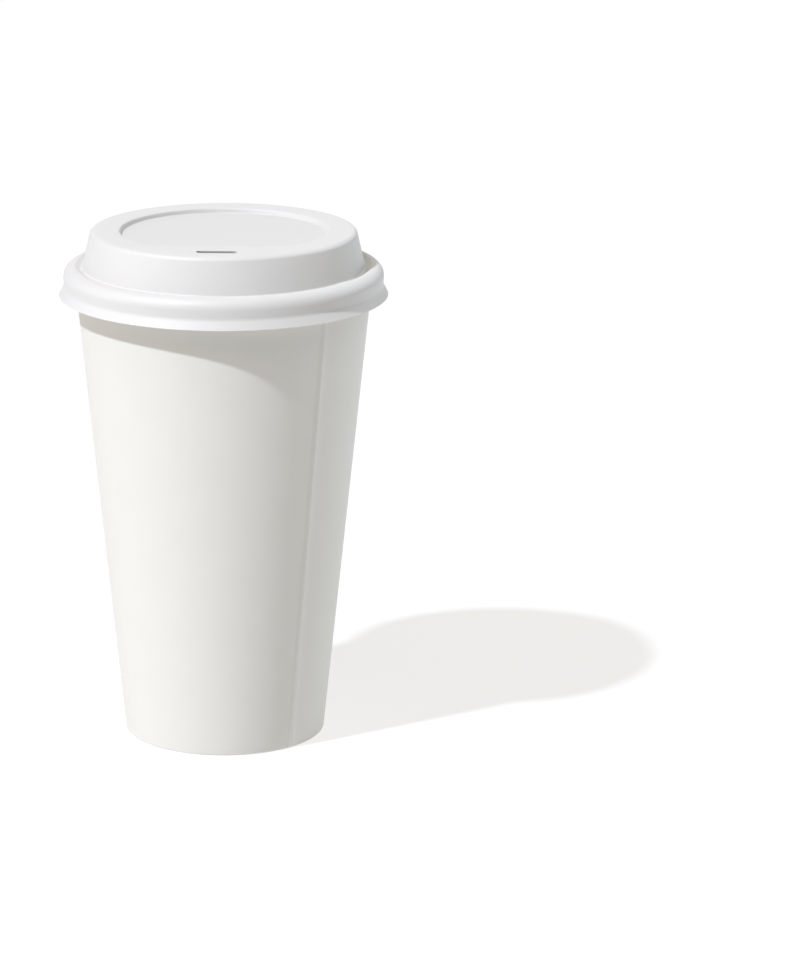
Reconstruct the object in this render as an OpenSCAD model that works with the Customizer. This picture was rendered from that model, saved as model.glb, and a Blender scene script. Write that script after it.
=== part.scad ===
// Paper hot drink cup with a sip lid, in millimetres.
// The wall is one paperboard blank: wrapped, lapped at a side seam, rolled outwards at
// the rim and folded in at the foot, where its hem holds the skirt of the bottom.
// The lid is one piece of thin plastic sheet, formed with a ridge that sits over the rim.
// The cup stands on z = 0 with its axis along Z, and the sip hole faces -Y.

/* [Cup] */
// Height from the table to the top of the rolled rim
cup_h = 138; // [100:0.5:170]
// Outer diameter of the wall at the foot
foot_d = 58.2; // [50:0.1:66]
// Outer diameter over the rolled rim
rim_d = 90; // [80:0.1:100]
// Thickness of the paperboard
board_t = 0.5; // [0.35:0.05:0.65]
// Outer diameter of the roll at the rim
roll_d = 2.6; // [2.2:0.1:3.4]
// Angle through which the rim is rolled, in degrees
roll_turn = 300; // [240:5:310]

/* [Side seam] */
// Width of the overlap of the blank's two ends
seam_w = 7; // [4:0.5:12]
// How far the pressed seam stands out from the wall
seam_rise = 0.45; // [0.2:0.05:0.45]
// Width of the outer ply's pressed edge
seam_edge = 0.35; // [0.1:0.05:1.5]
// Width of the slope where the outer ply comes down from the end of the inner one
seam_ramp = 1.5; // [0.8:0.1:2]
// Turn of the seam's edge about the axis, counted from the sip hole, in degrees
seam_turn = 43; // [0:0.5:360]

/* [Foot] */
// Height of the wall's hem, folded up inside the foot
hem_h = 7.2; // [4:0.1:10]
// Gap between the hem's edge and the bend of the bottom
hem_gap = 0.6; // [0.2:0.1:2]
// Inside radius of the fold at the foot
fold_in = 0.1; // [0.05:0.05:0.2]
// Outside radius of the bend where the bottom turns down into its skirt
bottom_bend = 1.2; // [0.9:0.1:2]
// Gap between sealed plies of the foot
seal_gap = 0.05; // [0.02:0.01:0.1]

/* [Lid fit] */
// Thickness of the lid's sheet
lid_t = 0.45; // [0.3:0.05:0.6]
// Gap between the top of the rolled rim and the crest of the lid's ridge
seat_gap = 0.8; // [0.6:0.05:1.1]
// Gap between the outside of the rolled rim and the lid
snap_gap = 0.8; // [0.6:0.05:1.5]

/* [Lid skirt and ridge] */
// Height from the skirt's lower edge to the top of the ridge
ridge_h = 8.6; // [7.5:0.1:12]
// Width of the ridge, from the foot of the dome to its outer side
ridge_w = 5.8; // [5:0.1:7]
// How far the ridge's top falls from its crest towards the dome
ridge_dip = 0.5; // [0.1:0.05:0.8]
// Radius of the ridge's crest
ridge_crest = 1.5; // [0.6:0.1:2]
// Height of the flared skirt, from its edge to the waist under the ridge
skirt_h = 2.6; // [2:0.1:3.5]
// How far the skirt's edge stands out beyond the ridge
skirt_out = 1; // [0.5:0.1:2]
// Radius of the bend from the waist to the skirt
skirt_bend = 2; // [1:0.1:3]
// How far the waist draws in under the ridge
waist_in = 0.4; // [0.1:0.05:0.5]

/* [Lid dome] */
// Height of the dome above the ridge
dome_h = 9.85; // [7:0.05:16]
// Slope of the dome's side from upright, in degrees
dome_slope = 13; // [6:0.5:18]
// Radius of the dome's upper edge
dome_edge = 1.5; // [0.8:0.1:3]
// Radius of the hollow at the foot of the dome
dome_foot = 0.8; // [0.3:0.1:1.5]

/* [Lid recess and sip hole] */
// Width of the flat ring between the dome's edge and the recess
ring_w = 8.4; // [6:0.1:12]
// Depth of the recess
recess_depth = 1.4; // [1.1:0.1:2.5]
// Slope of the recess's sides from upright, in degrees
recess_slope = 14; // [8:1:30]
// Radius of the recess's upper edge
recess_edge = 0.6; // [0.55:0.05:0.9]
// Radius at the foot of the recess's sides
recess_foot = 0.35; // [0.2:0.05:0.6]
// Depth of the straight-edged platform across the front of the recess
platform_w = 7.5; // [5:0.5:14]
// Radius of the recess's two corners, beside the platform
recess_corner = 6; // [3:0.5:9]
// Length of the sip hole across the platform
sip_l = 11.6; // [8:0.2:16]
// Width of the sip hole
sip_w = 2.6; // [2:0.1:5]
// Distance from the dome's edge to the middle of the sip hole
sip_in = 7.5; // [5:0.05:12]

/* [Hidden] */
$fn = 128;

// Number of straight steps in a small bend, and in the rolled rim
bend_steps = 8;
roll_steps = 24;
// How far a cutting shape runs past the surface it cuts
past = 1;
// How far the sides of the seam's outline run on, in lengths of its edge or slope
seam_over = 1.5;

// Wall: its outer face leans out from the foot and is tangent to the inside of the roll
roll_r = roll_d / 2;
foot_r = foot_d / 2;
roll_mid = [rim_d / 2 - roll_r, cup_h - roll_r];
foot_to_roll = roll_mid - [foot_r, 0];
wall_lean = atan2(foot_to_roll.x, foot_to_roll.y)
    - asin((roll_r - board_t) / norm(foot_to_roll));

// Radius of a face that lies a distance inside the wall's outer face, at height z
function wall_r(z, inside) = foot_r + z * tan(wall_lean) - inside / cos(wall_lean);

// Foot: the fold wraps the bottom's skirt, with the same taper as the wall
fold_w = 3 * board_t + 2 * seal_gap;
fold_r = board_t + fold_in;
skirt_foot_z = board_t + seal_gap;
bottom_z = hem_h + hem_gap + bottom_bend;

// Lid: heights of its ridge, dome and skirt, and radii that follow the rolled rim
ridge_z = cup_h + seat_gap + lid_t;
dome_z = ridge_z + dome_h;
skirt_z = ridge_z - ridge_h;
ridge_r = rim_d / 2 + snap_gap + lid_t;
skirt_r = ridge_r + skirt_out;
dome_foot_r = ridge_r - ridge_w;
dome_r = dome_foot_r - dome_h * tan(dome_slope);

// The ridge's outer rounding is the largest that keeps this gap to the rolled rim
round_gap = 0.6 * seat_gap;
ridge_round = roll_r + lid_t + snap_gap + seat_gap - round_gap
    + sqrt(2 * (snap_gap - round_gap) * (seat_gap - round_gap));
crest_r = ridge_r - 1.13 * ridge_round;

// Recess and sip hole, set in from the dome's edge
recess_r = dome_r - ring_w;
platform_y = recess_r - platform_w;
sip_y = dome_r - sip_in;
recess_run = recess_depth * tan(recess_slope);
corner_y = platform_y - recess_corner;
corner_x = sqrt(pow(recess_r - recess_corner, 2) - pow(corner_y, 2));

function unit(v) = v / norm(v);
function turned(v) = [-v.y, v.x];
function reversed(path) = [for (i = [len(path) - 1:-1:0]) path[i]];

// Points of the arc of radius r that rounds the corner b between a and c
function bend(a, b, c, r, steps) =
    let (
        to_a = unit(a - b),
        to_c = unit(c - b),
        half = acos(to_a * to_c) / 2,
        mid = b + unit(to_a + to_c) * r / sin(half),
        start = b + to_a * r / tan(half) - mid,
        end = b + to_c * r / tan(half) - mid,
        first = atan2(start.y, start.x),
        sweep = (atan2(end.y, end.x) - first + 540) % 360 - 180
    )
    [for (i = [0:steps]) mid + r * [cos(first + sweep * i / steps), sin(first + sweep * i / steps)]];

// A path with each inner corner rounded by the radius that stands at its place
function rounded(path, radii, steps = bend_steps) = [
    path[0],
    for (i = [1:len(path) - 2])
        each bend(path[i - 1], path[i], path[i + 1], radii[i], steps),
    path[len(path) - 1]
];

// The same path, moved sideways by t to the right of the way it runs
function shifted(path, t) = [
    for (i = [0:len(path) - 1])
        let (
            before = unit(path[max(i, 1)] - path[max(i, 1) - 1]),
            after = i == len(path) - 1 ? before : unit(path[i + 1] - path[i]),
            way_in = i == 0 ? after : before
        )
        path[i] - turned(way_in + after) * t / (1 + way_in * after)
];

// A sheet of thickness t, turned about the axis, whose section lies right of the path
module turned_sheet(path, t) {
    rotate_extrude()
        polygon(concat(path, reversed(shifted(path, t))));
}

// Solid cone that ends a distance inside the wall's outer face, between two heights
module wall_cone(low, high, inside) {
    translate([0, 0, low])
        cylinder(h = high - low, r1 = wall_r(low, inside), r2 = wall_r(high, inside));
}

// Outer face of the wall: from the end of the roll, over the rim, down to the foot,
// round the fold and up the hem
function wall_path() =
    let (
        last = 180 - wall_lean,
        first = 180 - roll_turn,
        step = (last - first) / roll_steps,
        foot = rounded(
            [
                [wall_r(hem_h, 0), hem_h],
                [wall_r(0, 0), 0],
                [wall_r(0, fold_w), 0],
                [wall_r(hem_h, fold_w), hem_h]
            ],
            [0, fold_r, fold_r, 0]
        )
    )
    concat(
        [for (i = [0:roll_steps])
            roll_mid + (roll_r - board_t) * [cos(first + i * step), sin(first + i * step)]],
        foot
    );

// Place in the seam's own frame: x along the wall from the outer ply's edge, and a
// distance inside the wall's outer face
function seam_at(x, inside) = [x, pow(x, 2) / (2 * wall_r(cup_h / 2, 0)) + inside];

// Point on the straight line through two points, at a share of the way from the first
function on_line(line, share) = line[0] + share * (line[1] - line[0]);

// Prism that leans with the wall along the side seam, from its outline in the seam's frame
module seam_prism(outline) {
    rotate([0, 0, seam_turn])
        translate([0, -foot_r, 0])
            rotate([wall_lean, 0, 0])
                translate([0, 0, -cup_h])
                    linear_extrude(3 * cup_h)
                        polygon(outline);
}

// Outer ply of the side seam, between its pressed edge and its slope back to the wall
module seam_lap() {
    edge = [seam_at(0, 0), seam_at(seam_edge, -seam_rise)];
    slope = [seam_at(seam_w, 0), seam_at(seam_w - seam_ramp, -seam_rise)];
    low = fold_r;
    high = cup_h - roll_d;
    intersection() {
        difference() {
            wall_cone(low, high, -seam_rise);
            wall_cone(low - past, high + past, board_t / 2);
        }
        seam_prism([
            on_line(edge, -1),
            on_line(edge, seam_over),
            on_line(slope, seam_over),
            on_line(slope, -1)
        ]);
    }
}

// Gap that the outer ply leaves inside the cup, past the end of the inner ply
module seam_notch() {
    inner_face = [
        seam_at(seam_w, board_t),
        seam_at(seam_w - seam_ramp, board_t - seam_rise)
    ];
    deep = on_line(inner_face, -1);
    intersection() {
        wall_cone(bottom_z, cup_h - roll_d, 0);
        seam_prism([deep, inner_face[1], [inner_face[1].x, deep.y]]);
    }
}

module cup_wall() {
    color([0.93, 0.92, 0.90])
        difference() {
            union() {
                turned_sheet(wall_path(), board_t);
                seam_lap();
            }
            seam_notch();
        }
}

module cup_bottom() {
    inside = board_t + seal_gap;
    color([0.94, 0.93, 0.91])
        turned_sheet(
            rounded(
                [
                    [0, bottom_z],
                    [wall_r(bottom_z, inside), bottom_z],
                    [wall_r(skirt_foot_z, inside), skirt_foot_z]
                ],
                [0, bottom_bend, 0]
            ),
            board_t
        );
}

// Upper face of the lid, without its recess: dome, ridge, waist and skirt
function lid_path() = rounded(
    [
        [0, dome_z],
        [dome_r, dome_z],
        [dome_foot_r + ridge_dip * tan(dome_slope), ridge_z - ridge_dip],
        [crest_r, ridge_z],
        [ridge_r, ridge_z],
        [ridge_r - waist_in, skirt_z + skirt_h],
        [skirt_r, skirt_z]
    ],
    [0, dome_edge, dome_foot, ridge_crest, ridge_round, skirt_bend, 0]
);

// Upper face of the recess, from its floor out to where it meets a flat at height 0
function recess_path(from, edge) =
    let (
        path = rounded(
            [
                [from, -recess_depth],
                [edge - recess_run, -recess_depth],
                [edge, 0],
                [edge + past * 3, 0]
            ],
            [0, recess_foot, recess_edge, 0]
        )
    )
    [for (i = [0:len(path) - 2]) path[i]];

// Region above the recess's face, carried on past the flat it is sunk into
function recess_hollow(from, edge) =
    let (
        path = recess_path(from, edge),
        last = path[len(path) - 1],
        slope = unit(last - path[len(path) - 2]),
        out = last + slope * past
    )
    concat(path, [out, [out.x, past], [from, past]]);

// The same region with the sheet's thickness added below, ending within the flat
function recess_tray(from, edge) =
    let (
        path = shifted(recess_path(from, edge), lid_t),
        last = path[len(path) - 1]
    )
    concat(path, [[last.x, -lid_t / 2], [from, -lid_t / 2]]);

// Sector about a corner of the recess, between its straight side and its round side
module corner_sector() {
    side = 3 * recess_corner;
    linear_extrude(2 * dome_h, center = true)
        polygon([[0, 0], [0, -side], side * unit([corner_x, -corner_y])]);
}

// Places a shape at both corners of the recess
module at_corners() {
    for (turn = [0, 1])
        mirror([turn, 0, 0])
            translate([corner_x, -corner_y, 0])
                children();
}

// Recess with a straight front edge, from the sections of its round side, of its straight
// side and of the corners between them
module recess_shape(round_side, straight_side, corner_side) {
    translate([0, 0, dome_z]) {
        difference() {
            intersection() {
                rotate_extrude()
                    polygon(round_side);
                rotate([90, 0, -90])
                    linear_extrude(2 * dome_foot_r, center = true)
                        polygon(straight_side);
            }
            at_corners()
                corner_sector();
        }
        at_corners()
            intersection() {
                rotate_extrude()
                    polygon(corner_side);
                corner_sector();
            }
    }
}

module sip_hole() {
    half = (sip_l - sip_w) / 2;
    translate([0, -sip_y, dome_z - lid_t - past])
        linear_extrude(lid_t + 2 * past) {
            square([2 * half, sip_w], center = true);
            for (side = [-1, 1])
                translate([side * half, 0])
                    circle(d = sip_w);
        }
}

module sip_lid() {
    back = -recess_r - 2 * past;
    color([0.97, 0.97, 0.97])
        difference() {
            union() {
                turned_sheet(lid_path(), lid_t);
                recess_shape(
                    recess_tray(0, recess_r),
                    recess_tray(back, platform_y),
                    recess_tray(0, recess_corner)
                );
            }
            recess_shape(
                recess_hollow(0, recess_r),
                recess_hollow(back, platform_y),
                recess_hollow(0, recess_corner)
            );
            sip_hole();
        }
}

cup_wall();
cup_bottom();
sip_lid();
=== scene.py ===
"""Paper hot drink cup with a sip lid, dressed for the photograph's view."""

import math

import bpy
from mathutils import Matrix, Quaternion, Vector


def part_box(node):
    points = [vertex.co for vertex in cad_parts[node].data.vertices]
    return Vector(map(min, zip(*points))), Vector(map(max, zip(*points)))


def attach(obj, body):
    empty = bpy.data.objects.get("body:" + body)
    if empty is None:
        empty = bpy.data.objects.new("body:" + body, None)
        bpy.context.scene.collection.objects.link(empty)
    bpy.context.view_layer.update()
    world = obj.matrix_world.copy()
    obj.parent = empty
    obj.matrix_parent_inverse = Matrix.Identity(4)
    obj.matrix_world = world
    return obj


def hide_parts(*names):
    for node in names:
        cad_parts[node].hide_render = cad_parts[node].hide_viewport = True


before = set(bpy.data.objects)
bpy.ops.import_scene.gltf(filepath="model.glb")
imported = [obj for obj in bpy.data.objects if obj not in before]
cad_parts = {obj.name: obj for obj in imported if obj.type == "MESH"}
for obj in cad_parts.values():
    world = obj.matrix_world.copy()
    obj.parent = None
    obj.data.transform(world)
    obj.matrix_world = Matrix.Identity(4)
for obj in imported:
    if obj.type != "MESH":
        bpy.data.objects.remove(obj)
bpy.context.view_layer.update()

# Cup wall
# One paperboard blank, about half a millimetre thick, white on both faces. It is wrapped
# into a cone, its two ends are lapped and heat sealed, its upper edge is rolled outwards
# into the rim, and its lower edge is folded in and up round the skirt of the bottom.

MM = 0.001

wall_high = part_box("cup_wall")[1]
cup_h = wall_high.z
rim_r = wall_high.x
foot_r = 29.1 * MM
board_t = 0.5 * MM
roll_r = 1.3 * MM
roll_turn = math.radians(300)
hem_h = 7.2 * MM
fold_in = 0.1 * MM
seal_gap = 0.05 * MM
fold_w = 3 * board_t + 2 * seal_gap

roll_mid = Vector((rim_r - roll_r, cup_h - roll_r))
foot_to_roll = roll_mid - Vector((foot_r, 0))

# The wall leans so that it meets the inside of the roll as a tangent
tangent_turn = math.asin((roll_r - board_t) / foot_to_roll.length)
wall_lean = math.atan2(foot_to_roll.x, foot_to_roll.y) - tangent_turn


def wall_r(z, inside=0.0):
    """Radius, at height z, of a cone that lies a distance inside the wall's outer face."""
    return foot_r + z * math.tan(wall_lean) - inside / math.cos(wall_lean)


def bend(a, b, c, radius, steps):
    """Points of the arc that rounds the corner b between a and c."""
    to_a, to_c = (a - b).normalized(), (c - b).normalized()
    half = to_a.angle(to_c) / 2
    mid = b + (to_a + to_c).normalized() * radius / math.sin(half)
    start = b + to_a * radius / math.tan(half) - mid
    end = b + to_c * radius / math.tan(half) - mid
    first = math.atan2(start.y, start.x)
    sweep = (math.atan2(end.y, end.x) - first + math.pi) % (2 * math.pi) - math.pi
    turns = [first + sweep * i / steps for i in range(steps + 1)]
    return [mid + radius * Vector((math.cos(t), math.sin(t))) for t in turns]


def rounded(corners):
    """Path from the first to the last (r, z), with each (r, z, radius, steps) between rounded."""
    points = [Vector(corner[:2]) for corner in corners]
    path = [points[0]]
    for i in range(1, len(points) - 1):
        radius, steps = corners[i][2:]
        path += bend(points[i - 1], points[i], points[i + 1], radius, steps)
    return path + [points[-1]]


def shifted(path, distance):
    """The same path, moved sideways to the right of the way it runs."""
    moved = []
    for i, point in enumerate(path):
        before = (path[max(i, 1)] - path[max(i, 1) - 1]).normalized()
        after = (path[i + 1] - path[i]).normalized() if i < len(path) - 1 else before
        across = before + after
        moved.append(point - Vector((-across.y, across.x)) * distance / (1 + before.dot(after)))
    return moved


def spread(path, longest):
    """The same path with points added, so that no step is longer than a given length."""
    points = [path[0]]
    for start, end in zip(path, path[1:]):
        steps = max(1, math.ceil((end - start).length / longest))
        points += [start.lerp(end, i / steps) for i in range(1, steps + 1)]
    return points


def polyline(name, points, **attributes):
    """A wire object through points (x, z), with a float attribute for each named list."""
    mesh = bpy.data.meshes.new(name)
    edges = [(i, i + 1) for i in range(len(points) - 1)]
    mesh.from_pydata([(p[0], 0, p[1]) for p in points], edges, [])
    for key, values in attributes.items():
        mesh.attributes.new(key, "FLOAT", "POINT").data.foreach_set("value", values)
    wire = bpy.data.objects.new(name, mesh)
    bpy.context.collection.objects.link(wire)
    return wire


# How far a point of a section follows the lap's outer ply, and how far its inner ply
PLY_KEYS = ("outer ply", "inner ply")

# Points closer than this are one point
weld = 0.001 * MM


def tree_with(name, **sockets):
    """A geometry node tree that takes and gives geometry, with more named inputs."""
    tree = bpy.data.node_groups.new(name, "GeometryNodeTree")
    tree.interface.new_socket("Geometry", in_out="OUTPUT", socket_type="NodeSocketGeometry")
    tree.interface.new_socket("Geometry", in_out="INPUT", socket_type="NodeSocketGeometry")
    for key, kind in sockets.items():
        label = key.replace("_", " ")
        tree.interface.new_socket(label, in_out="INPUT", socket_type="NodeSocket" + kind)
    return tree, tree.nodes.new("NodeGroupInput").outputs


def place(tree, kind, values=(), **settings):
    """Adds a node, with values or links for its sockets in order or by name."""
    node = tree.nodes.new(kind)
    for key, value in settings.items():
        setattr(node, key, value)
    live = [socket for socket in node.inputs if socket.enabled]
    by_name = {socket.name: socket for socket in reversed(live)}
    pairs = values.items() if isinstance(values, dict) else enumerate(values)
    for key, value in pairs:
        socket = by_name[key] if isinstance(key, str) else live[key]
        if isinstance(value, bpy.types.NodeSocket):
            tree.links.new(value, socket)
        else:
            socket.default_value = value
    return next((socket for socket in node.outputs if socket.enabled), None)


def calc(tree, operation, *values):
    """One Math node."""
    return place(tree, "ShaderNodeMath", values, operation=operation)


def ease(tree, value, start, end, low=0.0, high=1.0):
    """Runs smoothly from low at start to high at end, and stays level beyond them."""
    return place(
        tree, "ShaderNodeMapRange", [value, start, end, low, high], interpolation_type="SMOOTHSTEP"
    )


def give_out(tree, geometry, material):
    """Ends a tree: its geometry made real, with one material."""
    real = place(tree, "GeometryNodeRealizeInstances", [geometry])
    dressed = place(tree, "GeometryNodeSetMaterial", {"Geometry": real, "Material": material})
    place(tree, "NodeGroupOutput", [dressed])


def turned_section_tree():
    """Turns a section through a list of angles, and joins it where it meets itself."""
    tree, given = tree_with("Turned section", Turns="Object", Material="Material")
    section = given["Geometry"]
    turns = place(tree, "GeometryNodeObjectInfo", {"Object": given["Turns"]}).node.outputs["Geometry"]
    rows = place(tree, "GeometryNodeAttributeDomainSize", [section]).node.outputs["Point Count"]
    columns = place(tree, "GeometryNodeAttributeDomainSize", [turns]).node.outputs["Point Count"]
    grid = place(tree, "GeometryNodeMeshGrid", [1.0, 1.0, rows, columns])
    index = place(tree, "GeometryNodeInputIndex")
    row = calc(tree, "FLOOR", calc(tree, "DIVIDE", calc(tree, "ADD", index, 0.5), columns))
    column = calc(tree, "SUBTRACT", index, calc(tree, "MULTIPLY", row, columns))
    spot = place(tree, "GeometryNodeInputPosition")
    point = place(tree, "GeometryNodeSampleIndex", [section, spot, row], data_type="FLOAT_VECTOR")
    angle = place(tree, "GeometryNodeSampleIndex", [turns, spot, column], data_type="FLOAT_VECTOR")
    radius, _, height = place(tree, "ShaderNodeSeparateXYZ", [point]).node.outputs
    turn = place(tree, "ShaderNodeSeparateXYZ", [angle])
    across = calc(tree, "MULTIPLY", radius, calc(tree, "SINE", turn))
    along = calc(tree, "MULTIPLY", radius, calc(tree, "MULTIPLY", calc(tree, "COSINE", turn), -1.0))
    kept = grid
    for key in PLY_KEYS:
        share_of = place(tree, "GeometryNodeInputNamedAttribute", [key], data_type="FLOAT")
        share = place(tree, "GeometryNodeSampleIndex", [section, share_of, row], data_type="FLOAT")
        kept = place(
            tree,
            "GeometryNodeStoreNamedAttribute",
            {"Geometry": kept, "Name": key, "Value": share},
            data_type="FLOAT",
            domain="POINT",
        )
    turned = place(tree, "ShaderNodeCombineXYZ", [across, along, height])
    shaped = place(tree, "GeometryNodeSetPosition", {"Geometry": kept, "Position": turned})
    joined = place(tree, "GeometryNodeMergeByDistance", {"Geometry": shaped, "Distance": weld})
    smooth = place(tree, "GeometryNodeSetShadeSmooth", {"Geometry": joined})
    give_out(tree, smooth, given["Material"])
    return tree


def side_seam_tree():
    """Raises the outer ply of the lap as a soft bead, opens a gap inside past the inner
    ply's end, and leads the seam round the cup a little on its way up."""
    tree, given = tree_with(
        "Side seam",
        Turn="Float",
        Lean="Float",
        Middle_height="Float",
        Lap_width="Float",
        Bead_width="Float",
        Bead_fall="Float",
        Ramp_width="Float",
        Rise="Float",
        Material="Material",
    )
    spot = place(tree, "GeometryNodeInputPosition")
    x, y, z = place(tree, "ShaderNodeSeparateXYZ", [spot]).node.outputs
    level = place(tree, "ShaderNodeCombineXYZ", [x, y, 0.0])
    radius = place(tree, "ShaderNodeVectorMath", [level], operation="LENGTH")
    outwards = place(tree, "ShaderNodeVectorMath", [level], operation="NORMALIZE")
    turn = calc(tree, "ARCTAN2", x, calc(tree, "MULTIPLY", y, -1.0))
    along = calc(tree, "MULTIPLY", calc(tree, "SUBTRACT", turn, given["Turn"]), radius)
    lap, bead, ramp = (given[key] for key in ("Lap width", "Bead width", "Ramp width"))
    outer, inner = (
        place(tree, "GeometryNodeInputNamedAttribute", [key], data_type="FLOAT") for key in PLY_KEYS
    )
    climb = ease(tree, along, 0.0, bead)
    left = place(tree, "ShaderNodeMapRange", [along, bead, lap, 1.0, 0.0])
    bump = calc(tree, "MULTIPLY", climb, calc(tree, "POWER", left, given["Bead fall"]))
    ramp_start = calc(tree, "SUBTRACT", lap, ramp)
    past_ply = calc(tree, "GREATER_THAN", along, ramp_start)
    gap = calc(tree, "MULTIPLY", past_ply, ease(tree, along, ramp_start, lap, 1.0, 0.0))
    outer_lift = calc(tree, "MULTIPLY", outer, bump)
    inner_lift = calc(tree, "MULTIPLY", inner, gap)
    lift = calc(tree, "MULTIPLY", calc(tree, "ADD", outer_lift, inner_lift), given["Rise"])
    raised = place(
        tree, "ShaderNodeVectorMath", {"Vector": outwards, "Scale": lift}, operation="SCALE"
    )
    shaped = place(tree, "ShaderNodeVectorMath", [spot, raised], operation="ADD")
    height = calc(tree, "SUBTRACT", z, given["Middle height"])
    leaned = place(
        tree,
        "ShaderNodeVectorRotate",
        {"Vector": shaped, "Angle": calc(tree, "MULTIPLY", height, given["Lean"])},
        rotation_type="Z_AXIS",
    )
    moved = place(
        tree, "GeometryNodeSetPosition", {"Geometry": given["Geometry"], "Position": leaned}
    )
    give_out(tree, moved, given["Material"])
    return tree


def apply_tree(target, tree, **values):
    """Puts a geometry node tree on an object, with its named inputs set."""
    modifier = target.modifiers.new(tree.name, "NODES")
    modifier.node_group = tree
    for socket in tree.interface.items_tree:
        key = socket.name.replace(" ", "_")
        if socket.in_out == "INPUT" and key in values:
            modifier[socket.identifier] = values[key]


# Edges that turn more than this are shaded sharp
sharp_turn = math.radians(30)


def finished(name, source):
    """A plain mesh object with what the modifiers of a source object make, which is removed."""
    bpy.context.view_layer.update()
    seen = source.evaluated_get(bpy.context.evaluated_depsgraph_get())
    mesh = bpy.data.meshes.new_from_object(seen)
    mesh.name = name
    mesh.set_sharp_from_angle(angle=sharp_turn)
    piece = bpy.data.objects.new(name, mesh)
    bpy.context.collection.objects.link(piece)
    bpy.data.objects.remove(source)
    return piece


def even_turns(count):
    """Angles of one whole turn, both ends included."""
    return [2 * math.pi * i / count for i in range(count + 1)]


def faint_mottling_group():
    """Cloudy and fine variation of a pale surface: a mask near 0.5 and a height."""
    group = bpy.data.node_groups.new("Faint mottling", "ShaderNodeTree")
    for key in ("Cloud size", "Grain size", "Grain share"):
        group.interface.new_socket(key, in_out="INPUT", socket_type="NodeSocketFloat")
    for key in ("Mask", "Grain"):
        group.interface.new_socket(key, in_out="OUTPUT", socket_type="NodeSocketFloat")
    given = group.nodes.new("NodeGroupInput").outputs
    spot = place(group, "ShaderNodeTexCoord").node.outputs["Object"]
    noises = []
    for size, detail in (("Cloud size", 3.0), ("Grain size", 2.0)):
        look = {
            "Vector": spot,
            "Scale": calc(group, "DIVIDE", 1.0, given[size]),
            "Detail": detail,
            "Roughness": 0.55,
        }
        noises.append(place(group, "ShaderNodeTexNoise", look))
    mask = place(group, "ShaderNodeMix", [given["Grain share"], *noises], data_type="FLOAT")
    place(group, "NodeGroupOutput", [mask, noises[1]])
    return group


faint_mottling = faint_mottling_group()

# Where the mottling's mask starts and ends, and how far the roughness drifts with it
mask_low, mask_high = 0.3, 0.7
rough_drift = 0.04


def pale_surface(name, light, dark, roughness, cloud, grain, grain_share, relief):
    """A pale material whose colour drifts between two near tones over a fine relief."""
    material = bpy.data.materials.new(name)
    material.use_nodes = True
    tree = material.node_tree
    shader = tree.nodes["Principled BSDF"]
    effect = tree.nodes.new("ShaderNodeGroup")
    effect.node_tree = faint_mottling
    for socket, value in zip(effect.inputs, (cloud, grain, grain_share)):
        socket.default_value = value
    mask = effect.outputs["Mask"]
    ramp = tree.nodes.new("ShaderNodeValToRGB")
    for stop, position, colour in zip(ramp.color_ramp.elements, (mask_low, mask_high), (dark, light)):
        stop.position = position
        stop.color = (*colour, 1)
    tree.links.new(mask, ramp.inputs["Fac"])
    tree.links.new(ramp.outputs["Color"], shader.inputs["Base Color"])
    smoother, rougher = roughness - rough_drift, roughness + rough_drift
    rough = place(tree, "ShaderNodeMapRange", [mask, mask_low, mask_high, smoother, rougher])
    tree.links.new(rough, shader.inputs["Roughness"])
    bump = place(
        tree, "ShaderNodeBump", {"Strength": 1.0, "Distance": relief, "Height": effect.outputs["Grain"]}
    )
    tree.links.new(bump, shader.inputs["Normal"])
    return material, shader


paper, paper_shader = pale_surface(
    "paperboard",
    light=(0.773, 0.76, 0.71),
    dark=(0.756, 0.742, 0.69),
    roughness=0.62,
    cloud=9 * MM,
    grain=0.4 * MM,
    grain_share=0.35,
    relief=0.004 * MM,
)
paper_shader.inputs["Specular IOR Level"].default_value = 0.3

turned_section = turned_section_tree()
side_seam = side_seam_tree()

seam_turn = math.radians(42.8)
seam_lean = math.radians(2.6) / cup_h
lap_w = 7 * MM
lap_rise = 0.5 * MM
lap_bead = 1.5 * MM
bead_fall = 4.0
lap_ramp = 1.5 * MM
roll_share = 0.4

roll_steps = 28
fold_steps = 8
row_step = 12 * MM

last_turn = math.pi - wall_lean
first_turn = math.pi - roll_turn
roll_turns = [first_turn + (last_turn - first_turn) * i / roll_steps for i in range(roll_steps + 1)]
roll_path = [roll_mid + (roll_r - board_t) * Vector((math.cos(t), math.sin(t))) for t in roll_turns]
foot_path = rounded(
    [
        (wall_r(hem_h), hem_h),
        (wall_r(0), 0, board_t + fold_in, fold_steps),
        (wall_r(0, fold_w), 0, board_t + fold_in, fold_steps),
        (wall_r(hem_h, fold_w), hem_h),
    ]
)
outer_path = spread(roll_path + foot_path, row_step)
inner_path = shifted(outer_path, board_t)
bottom_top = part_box("cup_bottom")[1].z


def ply_shares(path, outer_face):
    """For each point of a face of the wall, how far it follows each ply of the lap."""
    outer, inner = [], []
    for point in path:
        on_hem = point.x < wall_r(point.y, fold_w / 2)
        on_roll = point.y > cup_h - 2 * roll_r
        on_wall = 0.0 if on_hem or on_roll else 1.0
        above_fold = min(1.0, point.y / (board_t + fold_in))
        above_bottom = 1.0 if point.y > bottom_top else 0.0
        outer.append(roll_share * on_roll + (on_wall * above_fold if outer_face else 0.0))
        inner.append(0.0 if outer_face else on_wall * above_bottom)
    return outer, inner


outer_shares = ply_shares(outer_path, True)
inner_shares = ply_shares(inner_path, False)
wall_section = outer_path + inner_path[::-1] + outer_path[:1]
wall_shares = {
    key: one + other[::-1] + one[:1] for key, one, other in zip(PLY_KEYS, outer_shares, inner_shares)
}

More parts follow.
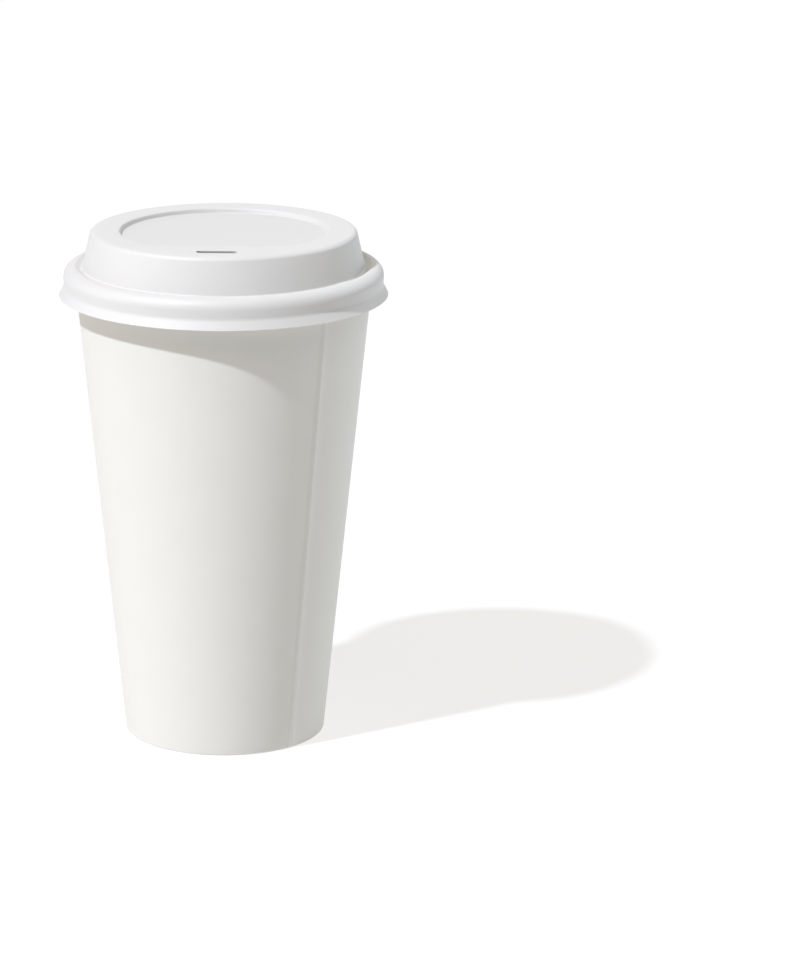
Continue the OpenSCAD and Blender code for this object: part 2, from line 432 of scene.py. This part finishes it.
# The wall has narrow columns across the seam, from a little before it, and even ones elsewhere
seam_lead = 2 * MM
seam_step = 0.08 * MM
seam_columns = 160
wall_columns = 240
seam_turns = [seam_turn + (i * seam_step - seam_lead) / foot_r for i in range(seam_columns)]
coarse_turns = [t for t in even_turns(wall_columns) if not seam_turns[0] <= t <= seam_turns[-1]]
wall_turns = sorted(coarse_turns + seam_turns)

section = polyline("wall section", wall_section, **wall_shares)
turns = polyline("wall turns", [(t, 0) for t in wall_turns])
apply_tree(section, turned_section, Turns=turns, Material=paper)
apply_tree(
    section,
    side_seam,
    Turn=seam_turn,
    Lean=seam_lean,
    Middle_height=cup_h / 2,
    Lap_width=lap_w,
    Bead_width=lap_bead,
    Bead_fall=bead_fall,
    Ramp_width=lap_ramp,
    Rise=lap_rise,
    Material=paper,
)
cup_wall = finished("cup_wall_paper", section)
bpy.data.objects.remove(turns)
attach(cup_wall, "cup")
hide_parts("cup_wall")

# Cup bottom
# One paperboard disc whose edge is turned down into a skirt. The skirt is heat sealed
# between the wall and its folded hem, so the disc stands clear of the table.

bottom_bend = 1.2 * MM
skirt_end_z = board_t + seal_gap
skirt_inside = board_t + seal_gap
bottom_columns = 180

bottom_path = rounded(
    [
        (0, bottom_top),
        (wall_r(bottom_top, skirt_inside), bottom_top, bottom_bend, fold_steps),
        (wall_r(skirt_end_z, skirt_inside), skirt_end_z),
    ]
)
bottom_path = spread(bottom_path, row_step)
section = polyline("bottom section", bottom_path + shifted(bottom_path, board_t)[::-1])
turns = polyline("bottom turns", [(t, 0) for t in even_turns(bottom_columns)])
apply_tree(section, turned_section, Turns=turns, Material=paper)
cup_bottom = finished("cup_bottom_paper", section)
bpy.data.objects.remove(turns)
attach(cup_bottom, "cup")
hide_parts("cup_bottom")

# Lid
# One sheet of white plastic under half a millimetre thick, formed over a mould: a flared
# skirt, a waist under the rolled rim, a ridge over the rim, a dome, and in its top a recess
# with a straight front edge. The sip hole is punched in the platform in front of it.

lid_low, lid_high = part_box("sip_lid")
lid_t = 0.45 * MM
dome_z = lid_high.z
skirt_z = lid_low.z
ridge_h = 8.6 * MM
ridge_z = skirt_z + ridge_h
ridge_r = rim_r + 1.25 * MM
ridge_w = 5.8 * MM
ridge_dip = 0.9 * MM
ridge_crest = 0.6 * MM
ridge_round = 3.322 * MM
crest_share = 1.13
crest_r = ridge_r - crest_share * ridge_round
skirt_r = ridge_r + 1.0 * MM
skirt_h = 2.6 * MM
skirt_bend = 2.0 * MM
waist_in = 0.4 * MM
dome_slope = math.radians(13)
dome_edge = 1.5 * MM
dome_foot = 0.6 * MM
dome_foot_r = ridge_r - ridge_w
dome_r = dome_foot_r - (dome_z - ridge_z) * math.tan(dome_slope)
ring_w = 8.4 * MM
recess_r = dome_r - ring_w
recess_deep = 1.4 * MM
recess_slope = math.radians(14)
recess_edge = 0.6 * MM
recess_foot = 0.35 * MM
floor_z = dome_z - recess_deep
floor_r = recess_r - recess_deep * math.tan(recess_slope)
platform_w = 7.5 * MM
sip_l = 11.6 * MM
sip_w = 2.6 * MM
sip_in = 7.5 * MM
flat_step = 2.5 * MM
lid_columns = 360

lid_path = rounded(
    [
        (0, floor_z),
        (floor_r, floor_z, recess_foot, 6),
        (recess_r, dome_z, recess_edge, 8),
        (dome_r, dome_z, dome_edge, 10),
        (dome_foot_r + ridge_dip * math.tan(dome_slope), ridge_z - ridge_dip, dome_foot, 10),
        (crest_r, ridge_z, ridge_crest, 6),
        (ridge_r, ridge_z, ridge_round, 16),
        (ridge_r - waist_in, skirt_z + skirt_h, skirt_bend, 8),
        (skirt_r, skirt_z),
    ]
)
lid_path = spread(lid_path, flat_step)

# The recess is drawn in only near the lid's top, from just inside its floor's edge to just
# inside the dome's edge, and its front corners are rounded by the blend
top_band = 3 * MM
held_floor_r = recess_r - 2.2 * MM
held_edge_r = recess_r + 1.4 * MM
held_ring_r = dome_r - 1.6 * MM
corner_blend = 3 * MM

# Guards against dividing by nothing at the lid's axis, and beside and behind it
least_r = 0.01 * MM
least_front = 0.05

# The punch that cuts the sip hole starts below the platform and has round ends
punch_h = 4 * MM
punch_below = 2 * MM
end_steps = 10
end_share = 0.499


def straight_recess_tree():
    """Draws the front of a round recess in to a straight edge, and cuts the sip hole."""
    tree, given = tree_with(
        "Straight recess front",
        Platform="Float",
        Blend="Float",
        Floor_radius="Float",
        Edge_radius="Float",
        Ring_radius="Float",
        Hole_length="Float",
        Hole_width="Float",
        Hole_distance="Float",
        Hole_height="Float",
        Material="Material",
    )
    floor, edge, ring = (given[key] for key in ("Floor radius", "Edge radius", "Ring radius"))
    spot = place(tree, "GeometryNodeInputPosition")
    x, y, z = place(tree, "ShaderNodeSeparateXYZ", [spot]).node.outputs
    level = place(tree, "ShaderNodeCombineXYZ", [x, y, 0.0])
    radius = place(tree, "ShaderNodeVectorMath", [level], operation="LENGTH")
    some_radius = calc(tree, "MAXIMUM", radius, least_r)
    front = calc(tree, "DIVIDE", calc(tree, "MULTIPLY", y, -1.0), some_radius)
    held = calc(tree, "MINIMUM", calc(tree, "MAXIMUM", radius, floor), edge)
    depth = calc(tree, "SUBTRACT", held, given["Platform"])
    straight = calc(tree, "DIVIDE", depth, calc(tree, "MAXIMUM", front, least_front))
    drawn = calc(tree, "SMOOTH_MIN", held, straight, given["Blend"])
    to_floor = calc(tree, "MINIMUM", calc(tree, "DIVIDE", radius, held), 1.0)
    inner = calc(tree, "MULTIPLY", drawn, to_floor)
    outer = place(tree, "ShaderNodeMapRange", [radius, edge, ring, inner, ring])
    beyond = calc(tree, "GREATER_THAN", radius, ring)
    new_radius = place(tree, "ShaderNodeMix", [beyond, outer, radius], data_type="FLOAT")
    share = calc(tree, "DIVIDE", new_radius, some_radius)
    new_x, new_y = (calc(tree, "MULTIPLY", value, share) for value in (x, y))
    shape = place(tree, "ShaderNodeCombineXYZ", [new_x, new_y, z])
    above = calc(tree, "GREATER_THAN", z, calc(tree, "SUBTRACT", given["Hole height"], top_band))
    drawn_in = place(
        tree,
        "GeometryNodeSetPosition",
        {"Geometry": given["Geometry"], "Selection": above, "Position": shape},
    )
    outline = place(
        tree,
        "GeometryNodeCurvePrimitiveQuadrilateral",
        {"Width": given["Hole length"], "Height": given["Hole width"]},
    )
    end_radius = calc(tree, "MULTIPLY", given["Hole width"], end_share)
    round_ends = place(
        tree,
        "GeometryNodeFilletCurve",
        {"Curve": outline, "Count": end_steps, "Radius": end_radius},
        mode="POLY",
    )
    face = place(tree, "GeometryNodeFillCurve", {"Curve": round_ends}, mode="NGONS")
    punch = place(tree, "GeometryNodeExtrudeMesh", {"Mesh": face, "Offset Scale": punch_h})
    base = place(tree, "GeometryNodeFlipFaces", [face])
    solid = place(tree, "GeometryNodeJoinGeometry", [punch])
    tree.links.new(base, solid.node.inputs[0])
    closed = place(tree, "GeometryNodeMergeByDistance", {"Geometry": solid, "Distance": weld})
    hole_y = calc(tree, "MULTIPLY", given["Hole distance"], -1.0)
    hole_z = calc(tree, "SUBTRACT", given["Hole height"], punch_below)
    at = place(tree, "ShaderNodeCombineXYZ", [0.0, hole_y, hole_z])
    placed = place(tree, "GeometryNodeTransform", {"Geometry": closed, "Translation": at})
    cut = place(
        tree,
        "GeometryNodeMeshBoolean",
        {"Mesh 1": drawn_in, "Mesh 2": placed},
        operation="DIFFERENCE",
        solver="EXACT",
    )
    give_out(tree, cut, given["Material"])
    return tree


lid_plastic, lid_shader = pale_surface(
    "white lid plastic",
    light=(0.688, 0.681, 0.664),
    dark=(0.676, 0.669, 0.652),
    roughness=0.5,
    cloud=14 * MM,
    grain=0.5 * MM,
    grain_share=0.3,
    relief=0.0015 * MM,
)
lid_shader.inputs["Specular IOR Level"].default_value = 0.45

# Share of the lid's tone that painted shade takes from its recess floor, how far out that
# floor may reach, and the heights above the floor between which the tone comes back
painted_floor_shade = 0.04
floor_reach = dome_r - 3 * MM
full_shade_end, plain_start = 0.1 * MM, 0.7 * MM


def paint_recess_floor_shade(tree, shader):
    """Paints shade on the floor of the recess: darkens its tone a touch, most at the floor's own level.
    """
    sheet_tone = shader.inputs["Base Color"].links[0].from_socket
    spot = place(tree, "ShaderNodeTexCoord").node.outputs["Object"]
    level = place(tree, "ShaderNodeVectorMath", [spot, (1, 1, 0)], operation="MULTIPLY")
    from_axis = place(tree, "ShaderNodeVectorMath", [level], operation="LENGTH")
    inside = calc(tree, "LESS_THAN", from_axis, floor_reach)
    height = place(tree, "ShaderNodeSeparateXYZ", [spot]).node.outputs["Z"]
    low = ease(tree, height, floor_z + full_shade_end, floor_z + plain_start, 1.0, 0.0)
    loss = calc(tree, "MULTIPLY", painted_floor_shade, calc(tree, "MULTIPLY", inside, low))
    share = calc(tree, "SUBTRACT", 1.0, loss)
    toned = place(
        tree, "ShaderNodeVectorMath", {"Vector": sheet_tone, "Scale": share}, operation="SCALE"
    )
    tree.links.new(toned, shader.inputs["Base Color"])


# Painted shade: the recess floor's tone is darkened a touch
paint_recess_floor_shade(lid_plastic.node_tree, lid_shader)

straight_recess = straight_recess_tree()
section = polyline("lid section", lid_path + shifted(lid_path, lid_t)[::-1])
turns = polyline("lid turns", [(t, 0) for t in even_turns(lid_columns)])
apply_tree(section, turned_section, Turns=turns, Material=lid_plastic)
apply_tree(
    section,
    straight_recess,
    Platform=platform_w,
    Blend=corner_blend,
    Floor_radius=held_floor_r,
    Edge_radius=held_edge_r,
    Ring_radius=held_ring_r,
    Hole_length=sip_l,
    Hole_width=sip_w,
    Hole_distance=dome_r - sip_in,
    Hole_height=dome_z,
    Material=lid_plastic,
)
lid = finished("sip_lid_plastic", section)
bpy.data.objects.remove(turns)
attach(lid, "lid")
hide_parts("sip_lid")

# Ground
# A plain white sweep. It glows a little, as the over-lit ground of a studio does, so
# that the cup's shadow on it stays pale.

ground_reach = 6.0
ground_corners = [
    (-ground_reach, -ground_reach, 0),
    (ground_reach, -ground_reach, 0),
    (ground_reach, ground_reach, 0),
    (-ground_reach, ground_reach, 0),
]
ground_mesh = bpy.data.meshes.new("ground")
ground_mesh.from_pydata(ground_corners, [], [(0, 1, 2, 3)])
ground = bpy.data.objects.new("ground", ground_mesh)
bpy.context.collection.objects.link(ground)
ground_white = bpy.data.materials.new("ground white")
ground_white.use_nodes = True
ground_shader = ground_white.node_tree.nodes["Principled BSDF"]
ground_shader.inputs["Base Color"].default_value = (0.27, 0.28, 0.3, 1)
ground_shader.inputs["Roughness"].default_value = 1.0
ground_shader.inputs["Specular IOR Level"].default_value = 0.0
ground_shader.inputs["Emission Color"].default_value = (1.0, 0.976, 0.937, 1)
ground_shader.inputs["Emission Strength"].default_value = 0.718
ground_mesh.materials.append(ground_white)

# Light and camera
# One small key light, high at the left front, makes the crisp shadows. Softboxes above
# the front, at the left, behind and at the right rear fill them, with the bright ground.
# The camera looks from the photograph's angle, shifted only to its framing.


def direction(azimuth, elevation):
    """Unit vector towards a place seen from the object, azimuth 0 being its front."""
    a, e = math.radians(azimuth), math.radians(elevation)
    return Vector((math.sin(a) * math.cos(e), -math.cos(a) * math.cos(e), math.sin(e)))


camera_azimuth = 3.6
camera_elevation = 15.42
camera_distance = 1.2246
target = Vector((0, 0, 74.64 * MM))
focal_px = 4210.7
frame_w, frame_h = 800, 960
axis_px = 224.3
roll_deg = -0.185

key_azimuth = -51.8
key_elevation = 50.7
key = bpy.data.lights.new("key", "SUN")
key.energy = 3.243
key.color = (0.839, 0.893, 1.0)
key.angle = math.radians(2.4)
key_object = bpy.data.objects.new("key", key)
bpy.context.collection.objects.link(key_object)
towards_key = direction(camera_azimuth + key_azimuth, key_elevation)
key_object.rotation_mode = "QUATERNION"
key_object.rotation_quaternion = towards_key.to_track_quat("Z", "Y")


def softbox(name, azimuth, elevation, distance, width, height, brightness, colour):
    """An even rectangular light that faces the object, set by how bright its face looks. Its
    azimuth counts from the camera's."""
    light = bpy.data.lights.new(name, "AREA")
    light.shape = "RECTANGLE"
    light.size, light.size_y = width, height
    light.energy = brightness * math.pi * width * height
    light.color = colour
    box = bpy.data.objects.new(name, light)
    bpy.context.collection.objects.link(box)
    towards = direction(camera_azimuth + azimuth, elevation)
    box.location = target + towards * distance
    box.rotation_mode = "QUATERNION"
    box.rotation_quaternion = towards.to_track_quat("Z", "Y")


softbox("front_top", -10, 66, 0.6, 0.45, 0.45, 1.783, (1.0, 0.856, 0.72))
softbox("left", -86, 19, 1.8, 1.8, 1.1, 1.17, (1.0, 0.871, 0.773))
softbox("right_rear", 120, 34, 1.6, 1.55, 1.55, 1.879, (0.858, 0.937, 1.0))
softbox("rear", 180, 19, 2.6, 2.4, 1.35, 0.975, (1.0, 0.942, 0.887))

world = bpy.data.worlds.new("studio")
bpy.context.scene.world = world
world.use_nodes = True
world.node_tree.nodes["Background"].inputs["Strength"].default_value = 0.0

camera_data = bpy.data.cameras.new("camera")
camera_data.sensor_width = 36
camera_data.lens = focal_px * camera_data.sensor_width / frame_h
camera_data.clip_start, camera_data.clip_end = 0.05, 50
camera = bpy.data.objects.new("camera", camera_data)
bpy.context.collection.objects.link(camera)
camera.location = target + direction(camera_azimuth, camera_elevation) * camera_distance
camera.rotation_mode = "QUATERNION"
look = (camera.location - target).to_track_quat("Z", "Y")
camera.rotation_quaternion = look @ Quaternion((0, 0, 1), math.radians(roll_deg))
camera_data.shift_x = (frame_w / 2 - axis_px) / frame_h
bpy.context.scene.camera = camera
bpy.context.scene.view_settings.view_transform = "Standard"
